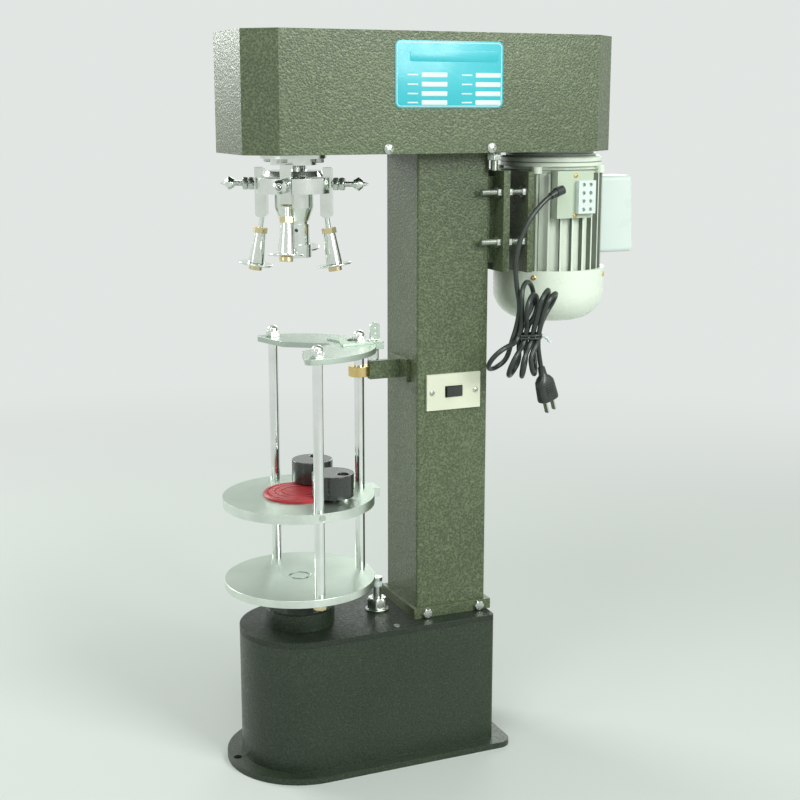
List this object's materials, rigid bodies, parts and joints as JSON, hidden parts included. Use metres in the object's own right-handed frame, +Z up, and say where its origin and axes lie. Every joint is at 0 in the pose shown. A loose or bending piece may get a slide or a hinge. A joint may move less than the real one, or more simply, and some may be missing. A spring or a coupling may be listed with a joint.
{
  "type": "bottle capping machine",
  "caption": "Bench bottle capping machine: belt-driven roller head over a lifting table with guide rods, square column, hollow base and upright geared drive motor behind",
  "frame": {"origin": "on the floor plane under the base flange, midway between its two bolt holes", "axes": "+Z up; +X from the lifting table towards the motor; +Y away from the switch side"},
  "size_m": [0.5812, 0.2149, 0.935],
  "materials": {
    "hammered_paint": "hammertone enamel, dark grey green, semi gloss",
    "label_print": "printed cyan label with white border and blank white fields",
    "polished_steel": "polished nickel plate",
    "satin_steel": "turned and brushed",
    "zinc_steel": "zinc plated, dull",
    "cast_pulley": "machined faces",
    "plate_steel": "fine turned, pale",
    "brass": "turned brass",
    "red_pad": "smooth red rubber",
    "black_rubber": "matt black",
    "black_plastic": "moulded",
    "cream_paint": "cream enamel, semi gloss",
    "white_plastic": "moulded white",
    "switch_ivory": "moulded ivory",
    "motor_alloy": "pale grey enamel on ribbed cast alloy"
  },
  "bodies": {
    "machine": {"base_housing": "hammered_paint", "base_lid": "hammered_paint", "column": "hammered_paint", "column_foot": "hammered_paint", "head_plate": "hammered_paint", "belt_cover": "hammered_paint", "guide_arm": "hammered_paint", "motor_bracket": "hammered_paint", "motor_foot": "hammered_paint", "nameplate": "label_print", "spindle_housing": "polished_steel", "lift_collar": "satin_steel", "spindle_bearings": "satin_steel", "lever_hanger": "zinc_steel", "fasteners": "zinc_steel", "tension_bolts": "zinc_steel", "guide_bush": "brass", "drive_belt": "black_rubber", "cord_lead": "black_plastic", "cord_hank": "black_plastic", "hank_tie": "black_plastic", "mains_plug": "black_plastic", "fan_cowl": "cream_paint", "terminal_panel": "cream_paint", "capacitor_box": "white_plastic", "switch_plate": "switch_ivory", "motor_frame": "motor_alloy", "motor_end_shield": "motor_alloy"},
    "cage": {"lift_shaft": "satin_steel", "lower_disc": "plate_steel", "guide_rods": "polished_steel", "rod_nuts": "polished_steel", "guide_plate": "plate_steel"},
    "table": {"table_plate": "plate_steel", "centre_pad": "red_pad", "table_screws": "satin_steel"},
    "near_stop": {"near_stop": "black_rubber"},
    "far_stop": {"far_stop": "black_rubber"},
    "jaw": {"neck_jaw": "satin_steel"},
    "clamp": {"clamp_knob": "zinc_steel"},
    "lever": {"lift_lever": "zinc_steel"},
    "spindle": {"spindle_shaft": "satin_steel", "spindle_pulley": "cast_pulley", "capping_hub": "polished_steel", "adjusting_screws": "polished_steel", "spring_bell": "polished_steel"},
    "press": {"press_cup": "polished_steel", "spreader_cone": "polished_steel"},
    "motor": {"motor_rotor": "satin_steel", "cooling_fan": "black_plastic", "motor_pulley": "cast_pulley"},
    "rocker": {"rocker": "black_plastic"},
    "arm_1": {"roller_arm_1": "polished_steel"},
    "roller_1": {"roller_1": "polished_steel"},
    "arm_2": {"roller_arm_2": "polished_steel"},
    "roller_2": {"roller_2": "polished_steel"},
    "arm_3": {"roller_arm_3": "polished_steel"},
    "roller_3": {"roller_3": "polished_steel"},
    "arm_4": {"roller_arm_4": "polished_steel"},
    "roller_4": {"roller_4": "polished_steel"}
  },
  "joints": [
    {"name": "cage_lift", "type": "slide", "parent": "machine", "child": "cage", "axis": [0, 0, 1], "range_m": [0, 0.07]},
    {"name": "table_slide", "type": "slide", "parent": "cage", "child": "table", "axis": [0, 0, 1], "range_m": [-0.08, 0.065]},
    {"name": "near_stop_turn", "type": "hinge", "parent": "table", "child": "near_stop", "pos_m": [-0.041, -0.051, 0.36], "axis": [0, 0, 1], "continuous": true},
    {"name": "far_stop_turn", "type": "hinge", "parent": "table", "child": "far_stop", "pos_m": [-0.041, 0.051, 0.36], "axis": [0, 0, 1], "continuous": true},
    {"name": "jaw_slide", "type": "slide", "parent": "cage", "child": "jaw", "axis": [1, 0, 0], "range_m": [-0.006, 0.006]},
    {"name": "clamp_turn", "type": "hinge", "parent": "cage", "child": "clamp", "pos_m": [0.015, -0.0155, 0.536], "axis": [0, 0, 1], "continuous": true},
    {"name": "lever_turn", "type": "hinge", "parent": "machine", "child": "lever", "pos_m": [0.026, 0, 0.067], "axis": [0, 1, 0], "range_deg": [0, 35.7]},
    {"name": "spindle_spin", "type": "hinge", "parent": "machine", "child": "spindle", "pos_m": [-0.083, 0, 0.791], "axis": [0, 0, 1], "continuous": true},
    {"name": "press_slide", "type": "slide", "parent": "spindle", "child": "press", "axis": [0, 0, 1], "range_m": [0, 0.0055], "stiffness_N_per_m": 2500, "springref_m": -0.002},
    {"name": "motor_spin", "type": "hinge", "parent": "machine", "child": "motor", "pos_m": [0.278, 0, 0.7], "axis": [0, 0, 1], "continuous": true},
    {"name": "rocker_tip", "type": "hinge", "parent": "machine", "child": "rocker", "pos_m": [0.112, -0.05, 0.487], "axis": [0, 0, 1], "range_deg": [-12, 0]},
    {"name": "arm_1_swing", "type": "hinge", "parent": "spindle", "child": "arm_1", "pos_m": [-0.04786, -0.02112, 0.747], "axis": [0.515, 0.8572, 0], "range_deg": [0, 5]},
    {"name": "roller_1_spin", "type": "hinge", "parent": "arm_1", "child": "roller_1", "pos_m": [-0.04029, -0.02566, 0.65466], "axis": [0.1282, -0.077, -0.9888], "continuous": true},
    {"name": "arm_2_swing", "type": "hinge", "parent": "spindle", "child": "arm_2", "pos_m": [-0.06188, 0.03514, 0.747], "axis": [-0.8572, 0.515, 0], "range_deg": [0, 5]},
    {"name": "roller_2_spin", "type": "hinge", "parent": "arm_2", "child": "roller_2", "pos_m": [-0.05734, 0.04271, 0.67066], "axis": [0.077, 0.1282, -0.9888], "continuous": true},
    {"name": "arm_3_swing", "type": "hinge", "parent": "spindle", "child": "arm_3", "pos_m": [-0.11814, 0.02112, 0.747], "axis": [-0.515, -0.8572, 0], "range_deg": [0, 5]},
    {"name": "roller_3_spin", "type": "hinge", "parent": "arm_3", "child": "roller_3", "pos_m": [-0.12571, 0.02566, 0.65466], "axis": [-0.1282, 0.077, -0.9888], "continuous": true},
    {"name": "arm_4_swing", "type": "hinge", "parent": "spindle", "child": "arm_4", "pos_m": [-0.10412, -0.03514, 0.747], "axis": [0.8572, -0.515, 0], "range_deg": [0, 5]},
    {"name": "roller_4_spin", "type": "hinge", "parent": "arm_4", "child": "roller_4", "pos_m": [-0.10866, -0.04271, 0.67066], "axis": [-0.077, -0.1282, -0.9888], "continuous": true}
  ],
  "couplings": [
    {"joint": "lever_turn", "follows": "cage_lift", "rad_per_m": 8.877},
    {"joint": "motor_spin", "follows": "spindle_spin", "ratio": 2.0417},
    {"joint": "arm_1_swing", "follows": "press_slide", "rad_per_m": 15.86},
    {"joint": "arm_2_swing", "follows": "press_slide", "rad_per_m": 15.86},
    {"joint": "arm_3_swing", "follows": "press_slide", "rad_per_m": 15.86},
    {"joint": "arm_4_swing", "follows": "press_slide", "rad_per_m": 15.86}
  ]
}
